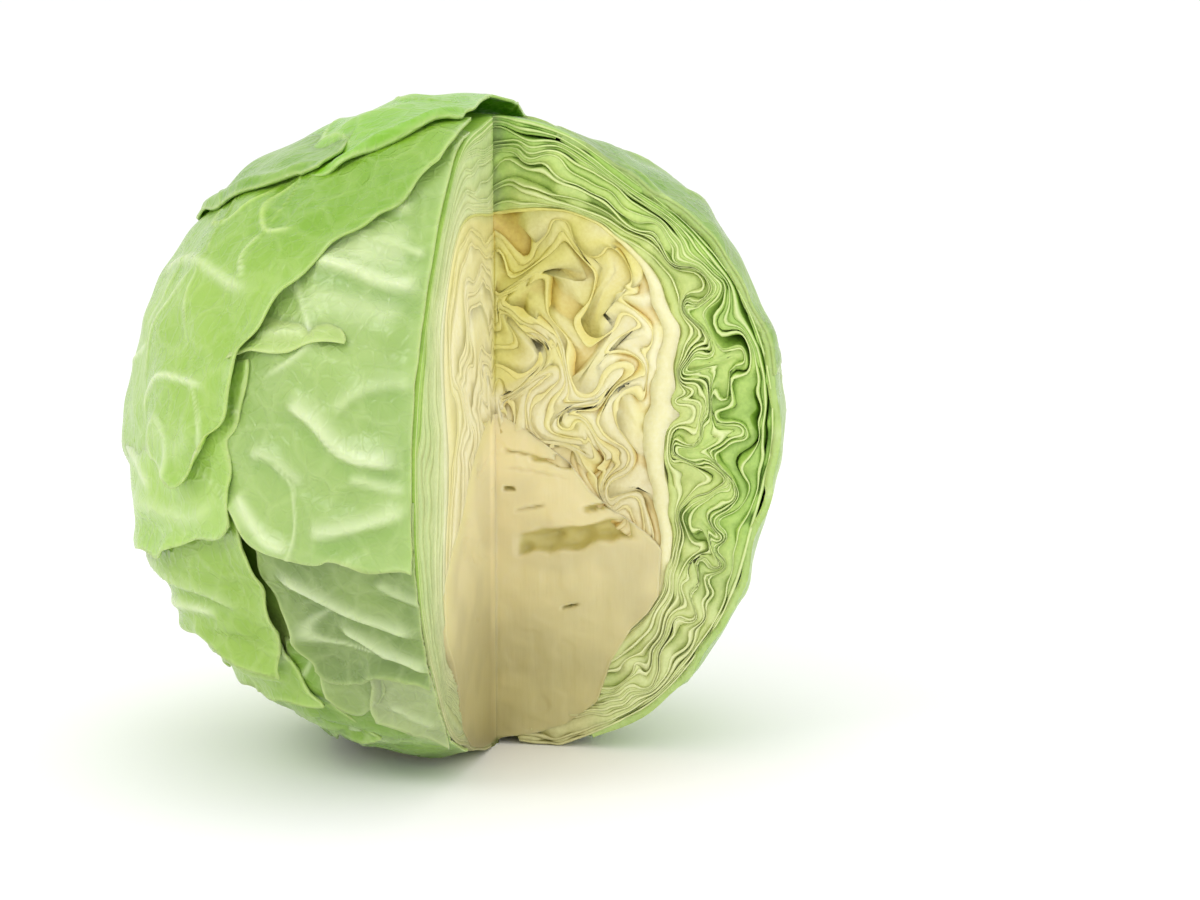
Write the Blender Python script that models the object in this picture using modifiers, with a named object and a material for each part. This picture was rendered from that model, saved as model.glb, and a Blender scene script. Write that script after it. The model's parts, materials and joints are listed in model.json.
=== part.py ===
"""A head of white cabbage with one quarter cut out of it, standing on its cut stem.

The head is built the way it grew: leaves nested round a short core, each a cup that wraps more
than half of what lies inside it. A leaf is a turned shell, trimmed to a cup by a slanting plane,
with a hollow for the core and without the quarter that the knife took out. Every shell is a
smaller copy of one outline, so neighbours keep the same narrow gap all round.

Metres, +Z up. The origin is the centre of the stem's cut face, which the head stands on.
"""

import math

import bmesh
import bpy
from mathutils import Vector

# The head's outline: distances from its centre to the side, the crown and the rim of the foot.
SIDE_RADIUS = 0.0965
CROWN_RADIUS = 0.0985
FOOT_RADIUS = 0.1000
CENTRE_HEIGHT = 0.0915

# The missing quarter: one cut passes this far to the right of the axis, the other through it.
CUT_OFFSET = 0.012

# What touching pieces keep clear of each other.
GAP = 0.0003

# The leaves from the outside in, as distances between the same face of one and the next.
WRAPPER_PITCH = 0.0016
HEAD_LEAF_PITCH = 0.0017
HEART_LEAF_PITCH = 0.0050
HEAD_LEAF_COUNT = 16
HEART_LEAF_COUNT = 8

# Each wrapper leaf: its layer from the outside, the direction that it faces (a heading
# anticlockwise from +X and a height above level) and how far round it reaches, in degrees.
WRAPPERS = {
    "wrapper_top": (0, 120, 52, 72),
    "wrapper_left": (1, 203, 6, 70),
    "wrapper_right": (1, 23, 4, 72),
    "wrapper_front": (2, 262, 12, 54),
    "wrapper_back": (2, 118, -12, 86),
    "wrapper_low_front": (3, 255, -48, 56),
    "wrapper_low_left": (4, 205, -40, 66),
}

# The head rests on the flattened foot of a leaf in this layer, level with the stem's cut face.
RESTING_LAYER = 2
FOOT_DEPTH = CENTRE_HEIGHT / (1 - RESTING_LAYER * WRAPPER_PITCH / SIDE_RADIUS)
FOOT_RIM_POLAR = math.pi - math.acos(FOOT_DEPTH / FOOT_RADIUS)

# The inner leaves follow each other round the core by the golden angle.
GOLDEN_ANGLE = 137.5
FIRST_HEADING = 200
SHIELDED_HEADINGS = (275, 350)
INNER_LEAF_HEIGHT = 22
INNER_LEAF_REACH = 118

# The core as a turned profile: (radius, height), from the growing tip to the cut stem.
CORE_PROFILE = [
    (0.0000, 0.0980),
    (0.0045, 0.0960),
    (0.0072, 0.0890),
    (0.0095, 0.0740),
    (0.0125, 0.0550),
    (0.0160, 0.0370),
    (0.0195, 0.0240),
    (0.0200, 0.0160),
    (0.0170, 0.0085),
    (0.0130, 0.0040),
    (0.0115, 0.0010),
    (0.0105, 0.0000),
]

# How finely the turned shapes are divided: turns about the axis, and steps from crown to foot.
TURN_STEPS = 20
ARC_STEPS = 8

# Bigger than the head in every direction: the size of a cutter that stands for half of space.
BEYOND = 0.4

OUTER_GREEN = (0.36, 0.60, 0.12)
PALE_GREEN = (0.62, 0.75, 0.34)
HEART_YELLOW = (0.74, 0.62, 0.24)
CORE_CREAM = (0.70, 0.62, 0.38)


def clear_scene():
    for thing in list(bpy.data.objects):
        bpy.data.objects.remove(thing)


def new_collection(name):
    collection = bpy.data.collections.new(name)
    bpy.context.scene.collection.children.link(collection)
    return collection


def direction(heading, height):
    """The unit vector at a heading and a height above level, in degrees."""
    flat = math.cos(math.radians(height))
    return Vector((
        flat * math.cos(math.radians(heading)),
        flat * math.sin(math.radians(heading)),
        math.sin(math.radians(height)),
    ))


def outline_point(polar, share):
    """A point of the head's outline, shrunk to a share of its size, at an angle from the crown."""
    up = math.cos(polar)
    if polar > FOOT_RIM_POLAR:
        reach = FOOT_DEPTH / -up
    elif up < 0:
        reach = SIDE_RADIUS + (FOOT_RADIUS - SIDE_RADIUS) * (up / math.cos(FOOT_RIM_POLAR)) ** 2
    else:
        reach = SIDE_RADIUS + (CROWN_RADIUS - SIDE_RADIUS) * up * up
    return Vector((share * reach * math.sin(polar), 0, CENTRE_HEIGHT + share * reach * up))


def outline_arc(share):
    """The outline from crown to the middle of the foot, with both ends exactly on the axis."""
    polars = [FOOT_RIM_POLAR * step / ARC_STEPS for step in range(ARC_STEPS + 1)] + [math.pi]
    arc = [outline_point(polar, share) for polar in polars]
    arc[0].x = 0
    arc[-1].x = 0
    return arc


def turned(name, arcs, collection):
    """An object turned about Z from one or more open profiles, each drawn down its outer side."""
    mesh = bpy.data.meshes.new(name)
    form = bmesh.new()
    for arc in arcs:
        points = [form.verts.new(point) for point in arc]
        for start, end in zip(points, points[1:]):
            form.edges.new((start, end))
    form.to_mesh(mesh)
    form.free()
    thing = bpy.data.objects.new(name, mesh)
    collection.objects.link(thing)
    screw = thing.modifiers.new("Turn", "SCREW")
    screw.steps = TURN_STEPS
    screw.render_steps = TURN_STEPS
    screw.use_merge_vertices = True
    screw.merge_threshold = 0.00001
    return thing


def hide_cutter(cutter):
    cutter.hide_render = True
    cutter.display_type = "WIRE"
    return cutter


def block_cutter(name, low, high, collection):
    """A box between two corners."""
    mesh = bpy.data.meshes.new(name)
    form = bmesh.new()
    bmesh.ops.create_cube(form, size=1)
    bmesh.ops.scale(form, vec=high - low, verts=form.verts)
    bmesh.ops.translate(form, vec=(low + high) / 2, verts=form.verts)
    form.to_mesh(mesh)
    form.free()
    cutter = bpy.data.objects.new(name, mesh)
    collection.objects.link(cutter)
    return hide_cutter(cutter)


def quarter_cutter(collection):
    """What the knife took out: everything right of one cut and in front of the other."""
    low = Vector((CUT_OFFSET, -BEYOND, -BEYOND))
    high = Vector((BEYOND, 0, BEYOND))
    return block_cutter("cut_quarter", low, high, collection)


def cup_cutter(name, facing, edge_distance, collection):
    """Half of space, on the side that a leaf faces, past a plane at this distance from the centre."""
    cutter = block_cutter(
        name,
        Vector((-BEYOND, -BEYOND, 0)),
        Vector((BEYOND, BEYOND, BEYOND)),
        collection,
    )
    cutter.rotation_euler = facing.to_track_quat("Z", "Y").to_euler()
    cutter.location = Vector((0, 0, CENTRE_HEIGHT)) + facing * edge_distance
    return cutter


def core_arc(clearance):
    """The core's profile, moved out by a clearance."""
    arc = [Vector((radius, 0, height)) for radius, height in CORE_PROFILE]
    for point in arc[1:]:
        point.x += clearance
    arc[0].z += clearance
    return arc


def core_room_cutter(collection):
    """The core and the gap round it, carried on below the foot."""
    arc = core_arc(GAP)
    arc[-1].x = arc[-2].x
    arc.append(Vector((arc[-1].x, 0, -BEYOND)))
    arc.append(Vector((0, 0, -BEYOND)))
    return hide_cutter(turned("core_room", [arc], collection))


def add_boolean(thing, operation, cutter):
    boolean = thing.modifiers.new(cutter.name, "BOOLEAN")
    boolean.operation = operation
    boolean.solver = "EXACT"
    boolean.object = cutter


def leaf_shell(name, outer_radius, thickness, collection):
    """A whole hollow turned shell, before it is trimmed. The inner face runs back up from the foot."""
    outer_arc = outline_arc(outer_radius / SIDE_RADIUS)
    inner_arc = outline_arc((outer_radius - thickness) / SIDE_RADIUS)
    return turned(name, [outer_arc, inner_arc[::-1]], collection)


def mix(first, second, share):
    return tuple(a + (b - a) * share for a, b in zip(first, second))


def plant_material(name, colour, roughness):
    """A moist, slightly translucent plant surface."""
    material = bpy.data.materials.new(name)
    material.use_nodes = True
    shader = material.node_tree.nodes["Principled BSDF"]
    shader.inputs["Base Color"].default_value = (*colour, 1)
    shader.inputs["Roughness"].default_value = roughness
    shader.inputs["Metallic"].default_value = 0
    shader.inputs["Subsurface Weight"].default_value = 0.2
    shader.inputs["Subsurface Scale"].default_value = 0.004
    material.diffuse_color = (*colour, 1)
    return material


def joined_faces(start):
    """All the faces that edges join to this one."""
    found = {start}
    waiting = [start]
    while waiting:
        for edge in waiting.pop().edges:
            for face in edge.link_faces:
                if face not in found:
                    found.add(face)
                    waiting.append(face)
    return found


def keep_largest_body(mesh):
    """Drops the slivers that the cuts leave beside a leaf."""
    form = bmesh.new()
    form.from_mesh(mesh)
    bodies = []
    left = set(form.faces)
    while left:
        bodies.append(joined_faces(next(iter(left))))
        left -= bodies[-1]
    bodies.sort(key=lambda faces: sum(face.calc_area() for face in faces))
    for faces in bodies[:-1]:
        bmesh.ops.delete(form, geom=list(faces), context="FACES")
    form.to_mesh(mesh)
    form.free()


def finish_piece(thing, colour, roughness):
    """Fixes the shape that the modifiers give, shades its curved faces smooth and colours it."""
    evaluated = thing.evaluated_get(bpy.context.evaluated_depsgraph_get())
    mesh = bpy.data.meshes.new_from_object(evaluated)
    keep_largest_body(mesh)
    mesh.name = thing.name
    mesh.materials.clear()
    mesh.materials.append(plant_material(thing.name, colour, roughness))
    mesh.shade_smooth()
    mesh.set_sharp_from_angle(angle=math.radians(40))
    thing.modifiers.clear()
    thing.data = mesh


def build_leaf(name, outer_radius, pitch, facing, reach, colour, collections, quarter, core_room):
    """One leaf: a shell trimmed to a cup of this reach (in degrees) round the way it faces."""
    parts, cutters = collections
    leaf = leaf_shell(name, outer_radius, pitch - GAP, parts)
    edge_distance = outer_radius * math.cos(math.radians(reach))
    add_boolean(leaf, "INTERSECT", cup_cutter(name + "_edge", facing, edge_distance, cutters))
    add_boolean(leaf, "DIFFERENCE", quarter)
    add_boolean(leaf, "DIFFERENCE", core_room)
    finish_piece(leaf, colour, roughness=0.38)


def inner_headings(count):
    """Headings by the golden angle, without those that the missing quarter would cut in two."""
    found = []
    heading = FIRST_HEADING
    while len(found) < count:
        if not SHIELDED_HEADINGS[0] < heading % 360 < SHIELDED_HEADINGS[1]:
            found.append(heading % 360)
        heading += GOLDEN_ANGLE
    return found


def build_wrappers(shared):
    """The loose outer leaves. Returns the radius left for the leaves inside them."""
    layers = 1 + max(layer for layer, _, _, _ in WRAPPERS.values())
    for name, (layer, heading, height, reach) in WRAPPERS.items():
        radius = SIDE_RADIUS - layer * WRAPPER_PITCH
        colour = mix(OUTER_GREEN, PALE_GREEN, layer / layers / 2)
        build_leaf(name, radius, WRAPPER_PITCH, direction(heading, height), reach, colour, *shared)
    return SIDE_RADIUS - layers * WRAPPER_PITCH


def build_nest(prefix, count, pitch, radius, headings, colours, shared):
    """Leaves nested inside each other, from the outside in. Returns the radius left inside them."""
    for number in range(count):
        facing = direction(headings[number], INNER_LEAF_HEIGHT)
        colour = mix(*colours, number / count)
        name = f"{prefix}_{number + 1:02d}"
        build_leaf(name, radius, pitch, facing, INNER_LEAF_REACH, colour, *shared)
        radius -= pitch
    return radius


def build_bud(radius, collections, quarter, core_room):
    """The packed middle of the heart, round the core's tip."""
    parts, _ = collections
    bud = turned("heart_bud", [outline_arc(radius / SIDE_RADIUS)], parts)
    add_boolean(bud, "DIFFERENCE", quarter)
    add_boolean(bud, "DIFFERENCE", core_room)
    finish_piece(bud, HEART_YELLOW, roughness=0.5)


def build_core(collections, quarter):
    """The stem inside the head, with its cut end at the bottom."""
    parts, _ = collections
    arc = core_arc(0)
    arc.append(Vector((0, 0, 0)))
    core = turned("stem_core", [arc], parts)
    add_boolean(core, "DIFFERENCE", quarter)
    finish_piece(core, CORE_CREAM, roughness=0.55)


def main():
    clear_scene()
    collections = (new_collection("cabbage_head"), new_collection("cutters"))
    quarter = quarter_cutter(collections[1])
    core_room = core_room_cutter(collections[1])
    shared = (collections, quarter, core_room)
    headings = inner_headings(HEAD_LEAF_COUNT + HEART_LEAF_COUNT)
    radius = build_wrappers(shared)
    radius = build_nest(
        "head_leaf", HEAD_LEAF_COUNT, HEAD_LEAF_PITCH, radius,
        headings[:HEAD_LEAF_COUNT], (PALE_GREEN, HEART_YELLOW), shared,
    )
    radius = build_nest(
        "heart_leaf", HEART_LEAF_COUNT, HEART_LEAF_PITCH, radius,
        headings[HEAD_LEAF_COUNT:], (HEART_YELLOW, HEART_YELLOW), shared,
    )
    build_bud(radius, *shared)
    build_core(collections, quarter)


main()
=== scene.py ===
"""The looks of the cut cabbage head: folded leaves, crumpled heart, core and wrapper leaves.

Every length is in metres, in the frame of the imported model. The leaves inside the head are sheets
laid out round the corner line of the missing quarter, so that their borders are the cut faces,
and then folded by a smooth flow that carries all of them at once: they crumple, but never cross.
"""

import json
import math

import bpy
import numpy as np
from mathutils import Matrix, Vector


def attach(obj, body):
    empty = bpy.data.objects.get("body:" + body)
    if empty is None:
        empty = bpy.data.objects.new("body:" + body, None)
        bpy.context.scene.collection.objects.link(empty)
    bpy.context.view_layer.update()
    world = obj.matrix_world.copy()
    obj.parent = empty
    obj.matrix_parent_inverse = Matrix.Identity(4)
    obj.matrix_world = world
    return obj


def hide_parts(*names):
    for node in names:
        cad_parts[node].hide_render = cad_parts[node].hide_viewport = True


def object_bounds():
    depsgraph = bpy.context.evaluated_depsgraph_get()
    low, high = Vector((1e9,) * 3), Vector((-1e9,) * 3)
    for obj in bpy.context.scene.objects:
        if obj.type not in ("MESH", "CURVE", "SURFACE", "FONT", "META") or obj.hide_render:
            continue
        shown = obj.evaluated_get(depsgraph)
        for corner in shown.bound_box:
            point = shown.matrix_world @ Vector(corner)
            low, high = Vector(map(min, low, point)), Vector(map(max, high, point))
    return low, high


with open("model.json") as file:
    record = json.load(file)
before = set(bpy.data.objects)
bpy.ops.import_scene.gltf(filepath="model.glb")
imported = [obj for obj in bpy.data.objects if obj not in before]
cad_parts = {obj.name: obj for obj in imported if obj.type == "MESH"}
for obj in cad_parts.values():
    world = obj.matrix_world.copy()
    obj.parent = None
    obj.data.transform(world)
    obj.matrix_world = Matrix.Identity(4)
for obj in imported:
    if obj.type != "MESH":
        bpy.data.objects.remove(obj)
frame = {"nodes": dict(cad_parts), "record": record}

CAD_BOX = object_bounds()
OPENING = frame["record"]["physics"]["openings"][0]["box_m"]
MM = 0.001

# Driving dimensions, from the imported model.
HEIGHT = CAD_BOX[1][2] - CAD_BOX[0][2]
CENTRE = np.array((0.0, 0.0, 0.4816 * HEIGHT))
SIDE = 0.508 * HEIGHT
CROWN = HEIGHT - CENTRE[2]
FOOT = 0.526 * HEIGHT
FOOT_DEPTH = CENTRE[2] / 0.967
CENTRE_POINT = Vector(CENTRE)

# The left cut face lies in the plane x = CUT_X and the right one in y = 0. They meet in the corner
# line, round which the leaves turn from the right cut face (0) to the left one, in degrees.
CUT_X = OPENING[0][0] - 0.4 * MM
CORNER = np.array((CUT_X, 0.0, CENTRE[2]))
TURN = 270.0

# Shares of the outline: where the head leaves end on the outside and the heart on the inside.
HEAD_OUTER = 0.930
HEART_INNER = 0.14

# The columns of a sheet: distances from a cut face in millimetres, and every how many rows
# there is a point in such a column.
COLUMN_STEPS = (
    (0.0, 1), (0.9, 1), (2.4, 1), (4.6, 2), (8.0, 2), (14, 4), (26, 4), (48, 4), (95, 4), (400, 4),
)


# ------ small mathematics


def smooth(value):
    """0 to 1 with soft ends."""
    value = np.clip(value, 0, 1)
    return value * value * (3 - 2 * value)


def mix(first, second, share):
    """A blend of two colours, with a share for each point."""
    share = np.asarray(share)[..., None]
    return np.asarray(first) * (1 - share) + np.asarray(second) * share


def toned(colours, factor, share):
    """Colours multiplied by a factor for each channel, with a share for each point."""
    return mix(colours, colours * np.array(factor), share)


def unit(vectors):
    return vectors / np.linalg.norm(vectors, axis=-1, keepdims=True)


def heading_vector(heading, height):
    """The unit vector at a heading (anticlockwise from +X) and a height above level, in degrees."""
    heading, height = np.radians(heading), np.radians(height)
    flat = np.cos(height)
    return np.stack((flat * np.cos(heading), flat * np.sin(heading), np.sin(height)), axis=-1)


def waves(seed, count, shortest, longest, quiet_axis=None):
    """Plane waves in random directions. Along quiet_axis they change little."""
    chance = np.random.default_rng(seed)
    lengths = np.exp(chance.uniform(np.log(shortest), np.log(longest), count))
    along = unit(chance.normal(size=(count, 3)))
    if quiet_axis is not None:
        along[:, quiet_axis] *= 0.4
        along = unit(along)
    return {
        "vector": along * (2 * np.pi / lengths)[:, None],
        "phase": chance.uniform(0, 2 * np.pi, count),
        "length": lengths,
        "count": count,
    }


def noise(points, field):
    """A smooth random value round zero, with a spread of about one."""
    angles = points @ field["vector"].T + field["phase"]
    return np.sin(angles).sum(axis=-1) * np.sqrt(2 / field["count"])


# ------ the head's outline


def reach(up):
    """Distance from the head's centre to its outline, by the cosine of the angle from the crown."""
    upper = SIDE + (CROWN - SIDE) * up * up
    lower = SIDE + (FOOT - SIDE) * (up * FOOT / FOOT_DEPTH) ** 2
    lower = np.minimum(lower, FOOT_DEPTH / np.maximum(-up, 0.1))
    return np.where(up > 0, upper, lower)


def outline_share(points):
    """How far out points lie, as a share of the outline, and the cosine of their angle."""
    arm = points - CENTRE
    length = np.maximum(np.linalg.norm(arm, axis=-1), 0.1 * MM)
    up = arm[..., 2] / length
    return length / reach(up), up


def from_corner(rays, shares):
    """Where rays from the corner meet the outline shrunk to these shares of its size."""
    offset = CORNER - CENTRE
    along = rays @ offset
    radius = shares * SIDE
    for _ in range(4):
        inside = np.maximum(radius ** 2 - offset @ offset + along ** 2, 0)
        distance = -along + np.sqrt(inside)
        points = CORNER + rays * distance[..., None]
        radius = shares * reach(outline_share(points)[1])
    return points


def heart_share(up):
    """Where the heart ends and the green head leaves begin, as a share of the outline."""
    lean = 2 * up * np.sqrt(np.maximum(1 - up * up, 0))
    return 0.575 + 0.18 * lean ** 2 + 0.07 * smooth((up - 0.6) / 0.4)


# The core with the leaf bases grown onto it: (height, radius) in millimetres, from the bottom up.
CORE_OUTLINE = (
    (0, 10.5), (2, 14), (3.5, 23), (7, 33), (14, 42), (26, 46), (36, 52), (41, 57), (46, 60), (60, 61),
    (64, 57), (69, 50), (73, 44), (76, 40), (80, 37), (84, 34), (87, 30), (90, 26), (94, 20), (98, 13),
)


def core_radius(heights):
    levels, radii = np.array(CORE_OUTLINE, dtype=float).T * MM
    return np.interp(heights, levels, radii, right=0)


def outside_core(points):
    """Distance from the core's side, positive outside it."""
    return np.hypot(points[..., 0], points[..., 1]) - core_radius(points[..., 2])


# ------ the folding flow

FOLD_STEPS = 12
HEART_FOLDING = 0.66
HEAD_FOLDING = 0.64

# The flows near the right (0) and the left (1) cut face, and how strong each is.
HEART_FOLDS = [waves(seed, 30, 11 * MM, 32 * MM, quiet_axis=axis) for seed, axis in ((5, 1), (8, 0))]
HEAD_FOLDS = [waves(seed, 30, 7 * MM, 22 * MM, quiet_axis=axis) for seed, axis in ((6, 1), (9, 0))]
SIDE_CALM = (1.0, 0.16)

# The swell that the head leaves and the wrapper leaves share, so that they stay nested.
SWELL = waves(41, 12, 34 * MM, 80 * MM)
SWELL_HEIGHT = 1.2 * MM


def swirl(points, field, across):
    """A flow that stays in the planes square to an axis and keeps areas in them."""
    strength = field["length"] ** 2 / (2 * np.pi * np.sqrt(field["count"]))
    pushes = np.cross(field["vector"], across) * strength[:, None]
    return np.sin(points @ field["vector"].T + field["phase"]) @ pushes


def fold_strengths(points):
    """How strongly the flows fold the heart and the head leaves. The crown and the rim stay calm."""
    share, up = outline_share(points)
    edge = heart_share(up)
    from_line = np.hypot(points[..., 0] - CUT_X, points[..., 1])
    in_heart = smooth((edge - share + 0.01) / 0.05)
    crown_calm = 0.25 + 0.75 * smooth((0.88 - up) / 0.35)
    half_rib = 0.035
    beyond_rib = np.maximum(np.abs(share - edge - half_rib) - half_rib, 0)
    rib_calm = 1 - 0.9 * np.exp(-(beyond_rib / 0.045) ** 2)
    off_core = smooth((outside_core(points) + 2 * MM) / (8 * MM))
    shared = rib_calm * smooth(from_line / (6 * MM)) * off_core / FOLD_STEPS
    heart = HEART_FOLDING * in_heart * shared
    head = HEAD_FOLDING * (1 - in_heart) * crown_calm * smooth((0.965 - share) / 0.16) * shared
    return heart[..., None], head[..., None]


def folded(points):
    """Points carried along by the flow. On each cut face it stays in the plane of the cut."""
    shape = points.shape
    points = points.reshape(-1, 3).copy()
    for _ in range(FOLD_STEPS):
        arm = points - CORNER
        turn = (np.degrees(np.arctan2(arm[:, 1], arm[:, 0])) + 45) % 360 - 45
        heart, head = fold_strengths(points)
        near_right = smooth((140 - turn) / 70)[:, None]
        near_left = smooth((turn - 130) / 70)[:, None]
        push = 0
        for near, across, side in ((near_right, (0, 1, 0), 0), (near_left, (1, 0, 0), 1)):
            near = near * SIDE_CALM[side]
            push = push + near * heart * swirl(points, HEART_FOLDS[side], across)
            push = push + near * head * swirl(points, HEAD_FOLDS[side], across)
        points += push
    return points.reshape(shape)


def swollen(points):
    """Points near the outline moved out and in with the head's swell, but not across a cut face."""
    share = outline_share(points)[0]
    away = unit(points - CENTRE)
    swell = SWELL_HEIGHT * noise(away * SIDE, SWELL) * smooth((share - 0.7) / 0.2)
    moved = points + away * swell[..., None]
    behind_right = (points[..., 0] > CUT_X) & (points[..., 1] > -1 * MM)
    behind_left = (points[..., 1] < 0) & ~behind_right
    limit = np.minimum(points[..., 1], 1 * MM)
    moved[..., 1] = np.where(behind_right, np.maximum(moved[..., 1], limit), moved[..., 1])
    limit = np.maximum(points[..., 0], CUT_X - 1 * MM)
    moved[..., 0] = np.where(behind_left, np.minimum(moved[..., 0], limit), moved[..., 0])
    return moved


# ------ meshes


def new_piece(node, points, faces, tints, materials, face_materials=None):
    """A smooth mesh with a colour for each point, which takes the place of a CAD node."""
    mesh = bpy.data.meshes.new(node + "_look")
    mesh.from_pydata(points.tolist(), [], faces)
    for material in materials:
        mesh.materials.append(material)
    if face_materials is not None:
        mesh.polygons.foreach_set("material_index", face_materials)
    colours = np.column_stack((tints, np.ones(len(tints)))).astype(np.float32)
    mesh.attributes.new("tint", "FLOAT_COLOR", "POINT").data.foreach_set("color", colours.ravel())
    mesh.update()
    mesh.shade_smooth()
    piece = bpy.data.objects.new(node + "_look", mesh)
    bpy.context.scene.collection.objects.link(piece)
    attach(piece, "root")
    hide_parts(node)


def facing_out(points, faces):
    """The faces, turned round if they enclose their body inside out."""
    first, second, third = (points[[face[corner] for face in faces]] for corner in range(3))
    volume = np.einsum("ij,ij->", first, np.cross(second, third))
    return faces if volume > 0 else [face[::-1] for face in faces]


def strip(first, second):
    """Quads between two rows of point numbers."""
    return np.column_stack((first[:-1], first[1:], second[1:], second[:-1])).tolist()


def fan_strip(fine, coarse):
    """Triangles between a row of point numbers and one with half as many steps."""
    starts, middles, ends = fine[:-2:2], fine[1::2], fine[2::2]
    faces = np.concatenate((
        np.column_stack((starts, middles, coarse[:-1])),
        np.column_stack((middles, coarse[1:], coarse[:-1])),
        np.column_stack((middles, ends, coarse[1:])),
    ))
    return faces.tolist()


# ------ the leaves as nested sheets

# What sets the cut edges back by uneven amounts: on the right cut face, on the left one, on both.
RECESS_WAVES = (waves(31, 14, 0.09, 0.35), waves(32, 14, 0.09, 0.35), waves(33, 12, 0.06, 0.20))

# The left cut face, seen almost edge-on in the photograph, is all but flat.
SIDE_RECESS = (1.0, 0.07)

# For each column: its distance from a cut face, whether that is the right (0) or left (1) one, and
# its row spacing.
COLUMNS = [(step, 0, spacing) for step, spacing in COLUMN_STEPS]
COLUMNS += [(step, 1, spacing) for step, spacing in COLUMN_STEPS[::-1]]


def turns_at(distances, arm, side):
    """Angles about the corner line at a distance from the right (0) or left (1) cut face."""
    half = TURN / 2
    turn = half * (1 - np.exp(-distances / np.maximum(arm, 0.3 * MM) / np.radians(half)))
    return turn if side == 0 else TURN - turn


def polar_rays(polars, turn):
    """Unit rays at angles from straight up and turns about the corner line."""
    across = np.sin(polars)
    return np.stack((across * np.cos(turn), across * np.sin(turn), np.cos(polars)), axis=-1)


def sheet_rays(polars, shares, recess, side, step):
    """Unit rays from the corner to one column of a sheet."""
    arm = shares * SIDE * np.sin(polars)
    return polar_rays(polars, np.radians(turns_at(recess + step * MM, arm, side)))


def leaf_weights(leaves, rays):
    """The stack of leaves along rays: for each, the room up to its inner and outer face."""
    inner, outer = [], []
    total = np.zeros(rays.shape[:-1])
    for leaf in leaves:
        total = total + leaf["gap"](rays)
        inner.append(total)
        total = total + leaf["thickness"](rays)
        outer.append(total)
    return inner, outer, total


def sheet_shares(band, number, rays):
    """Shares of the outline for the inner and outer face of one leaf of a band, along rays."""
    inner, outer, total = leaf_weights(band["leaves"], rays)
    start, end = band["limits"](rays)
    room = (end - start) / total
    return start + room * inner[number], start + room * outer[number]


def last_polar(share):
    """The angle at which a sheet of this size has run into the core, on the two cut faces."""
    polars = np.radians(np.linspace(2, 176, 350))
    ends = []
    for turn in (0.0, math.radians(TURN)):
        points = from_corner(polar_rays(polars, turn), np.full(len(polars), share))
        buried = (outside_core(points) < -7 * MM) & (points[:, 2] < CENTRE[2])
        ends.append(polars[buried.argmax()] if buried.any() else polars[-1])
    return ends


def crevice(polars, share, side):
    """How far the leaves on the right cut stand back from the corner line under the crown."""
    depth = 7 * MM if side == 0 else 0
    arm = share * SIDE * np.sin(polars)
    height = CENTRE[2] + share * SIDE * np.cos(polars)
    open_part = smooth((height - 0.79 * HEIGHT) / (0.07 * HEIGHT))
    return depth * open_part * np.exp(-(arm / (5 * MM)) ** 2)


def sheet_faces(numbers):
    """The faces of a sheet's two sides and two ends, and those of its two cut edges."""
    last = len(COLUMNS) - 1
    faces, edge_faces = [], []
    for bias in (-1, 1):
        for column in range(last):
            here, there = numbers[bias, column], numbers[bias, column + 1]
            if len(here) == len(there):
                new = strip(here, there)
            elif len(here) > len(there):
                new = fan_strip(here, there)
            else:
                new = [face[::-1] for face in fan_strip(there, here)]
            faces += new if bias == 1 else [face[::-1] for face in new]
    for column, turned in ((0, False), (last, True)):
        below, middle, above = (numbers[bias, column] for bias in (-1, 0, 1))
        new = strip(below, middle) + strip(middle, above)
        new += [[above[0], below[0], middle[0]], [below[-1], above[-1], middle[-1]]]
        edge_faces += [face[::-1] for face in new] if turned else new
    for row, turned in ((0, True), (-1, False)):
        lower = np.array([numbers[-1, column][row] for column in range(last + 1)])
        upper = np.array([numbers[1, column][row] for column in range(last + 1)])
        new = strip(lower, upper)
        faces += [face[::-1] for face in new] if turned else new
    return faces, edge_faces


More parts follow.
